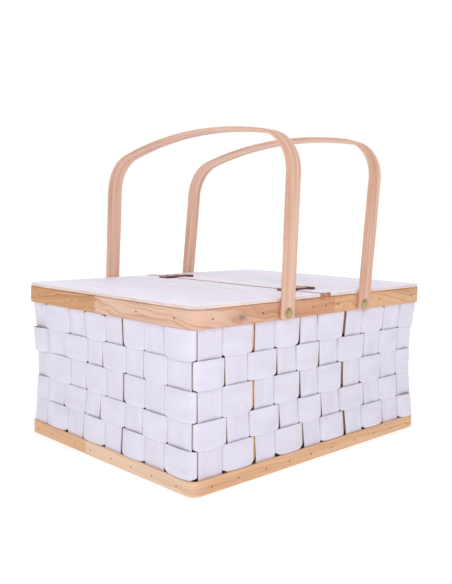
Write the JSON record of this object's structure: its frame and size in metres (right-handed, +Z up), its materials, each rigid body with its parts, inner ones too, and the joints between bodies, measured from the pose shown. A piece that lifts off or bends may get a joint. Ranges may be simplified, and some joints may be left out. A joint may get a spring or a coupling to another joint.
{
  "type": "wicker picnic basket",
  "caption": "Woven split-wood picnic basket with nailed wood bands, leather-hinged lids either side of a fixed centre bar, and swinging bentwood handles on brass rivets.",
  "frame": {"origin": "middle of the underside, on the surface that the basket stands on", "axes": "+X along the longer side towards the right lid, +Y from the front wall to the back wall, +Z up"},
  "size_m": [0.424, 0.352, 0.4023],
  "materials": {
    "painted_splint": "thin white paint over split wood, matt",
    "base_band_wood": "clear satin lacquer over light tan wood",
    "rim_band_wood": "clear satin lacquer over knotty orange wood",
    "batten_wood": "bare planed wood",
    "base_plywood": "bare sanded plywood",
    "lid_plywood": "whitewashed plywood with bare edges, matt",
    "hinge_leather": "dark reddish brown waxed leather",
    "screw_brass": "aged brass, small domed screws",
    "rivet_brass": "brushed brass, slightly dull",
    "handle_bentwood": "clear satin lacquer over straight-grained bentwood",
    "nail_steel": "dark oxidised wire nails"
  },
  "bodies": {
    "basket": {"base_board": "base_plywood", "stakes_front": "painted_splint", "stakes_back": "painted_splint", "stakes_left": "painted_splint", "stakes_right": "painted_splint", "weaver_1": "painted_splint", "weaver_2": "painted_splint", "weaver_3": "painted_splint", "weaver_4": "painted_splint", "weaver_5": "painted_splint", "base_band_front": "base_band_wood", "base_band_back": "base_band_wood", "rim_band_front_left": "rim_band_wood", "rim_band_front_right": "rim_band_wood", "rim_band_back_right": "rim_band_wood", "rim_band_back_left": "rim_band_wood", "rim_batten_front": "batten_wood", "rim_batten_back": "batten_wood", "rim_batten_left": "batten_wood", "rim_batten_right": "batten_wood", "base_nails": "nail_steel", "rim_nails": "nail_steel", "centre_bar": "lid_plywood", "bar_nails": "nail_steel", "strap_front_centre": "hinge_leather", "strap_back_centre": "hinge_leather", "strap_screws_centre": "screw_brass", "handle_rivets": "rivet_brass", "rivet_washers": "rivet_brass"},
    "left_lid": {"lid_left": "lid_plywood", "strap_front_left": "hinge_leather", "strap_back_left": "hinge_leather", "strap_screws_left": "screw_brass"},
    "right_lid": {"lid_right": "lid_plywood", "strap_front_right": "hinge_leather", "strap_back_right": "hinge_leather", "strap_screws_right": "screw_brass"},
    "left_handle": {"handle_left": "handle_bentwood"},
    "right_handle": {"handle_right": "handle_bentwood"}
  },
  "joints": [
    {"name": "left_lid_hinge", "type": "hinge", "parent": "basket", "child": "left_lid", "pos_m": [-0.00925, 0, 0.205], "axis": [0, 1, 0], "range_deg": [0, 55]},
    {"name": "right_lid_hinge", "type": "hinge", "parent": "basket", "child": "right_lid", "pos_m": [0.00925, 0, 0.205], "axis": [0, -1, 0], "range_deg": [0, 55]},
    {"name": "left_handle_pivot", "type": "hinge", "parent": "basket", "child": "left_handle", "pos_m": [-0.0725, 0, 0.1855], "axis": [0, 1, 0], "range_deg": [-125, 13]},
    {"name": "right_handle_pivot", "type": "hinge", "parent": "basket", "child": "right_handle", "pos_m": [0.0725, 0, 0.1855], "axis": [0, -1, 0], "range_deg": [-118, 20]}
  ]
}
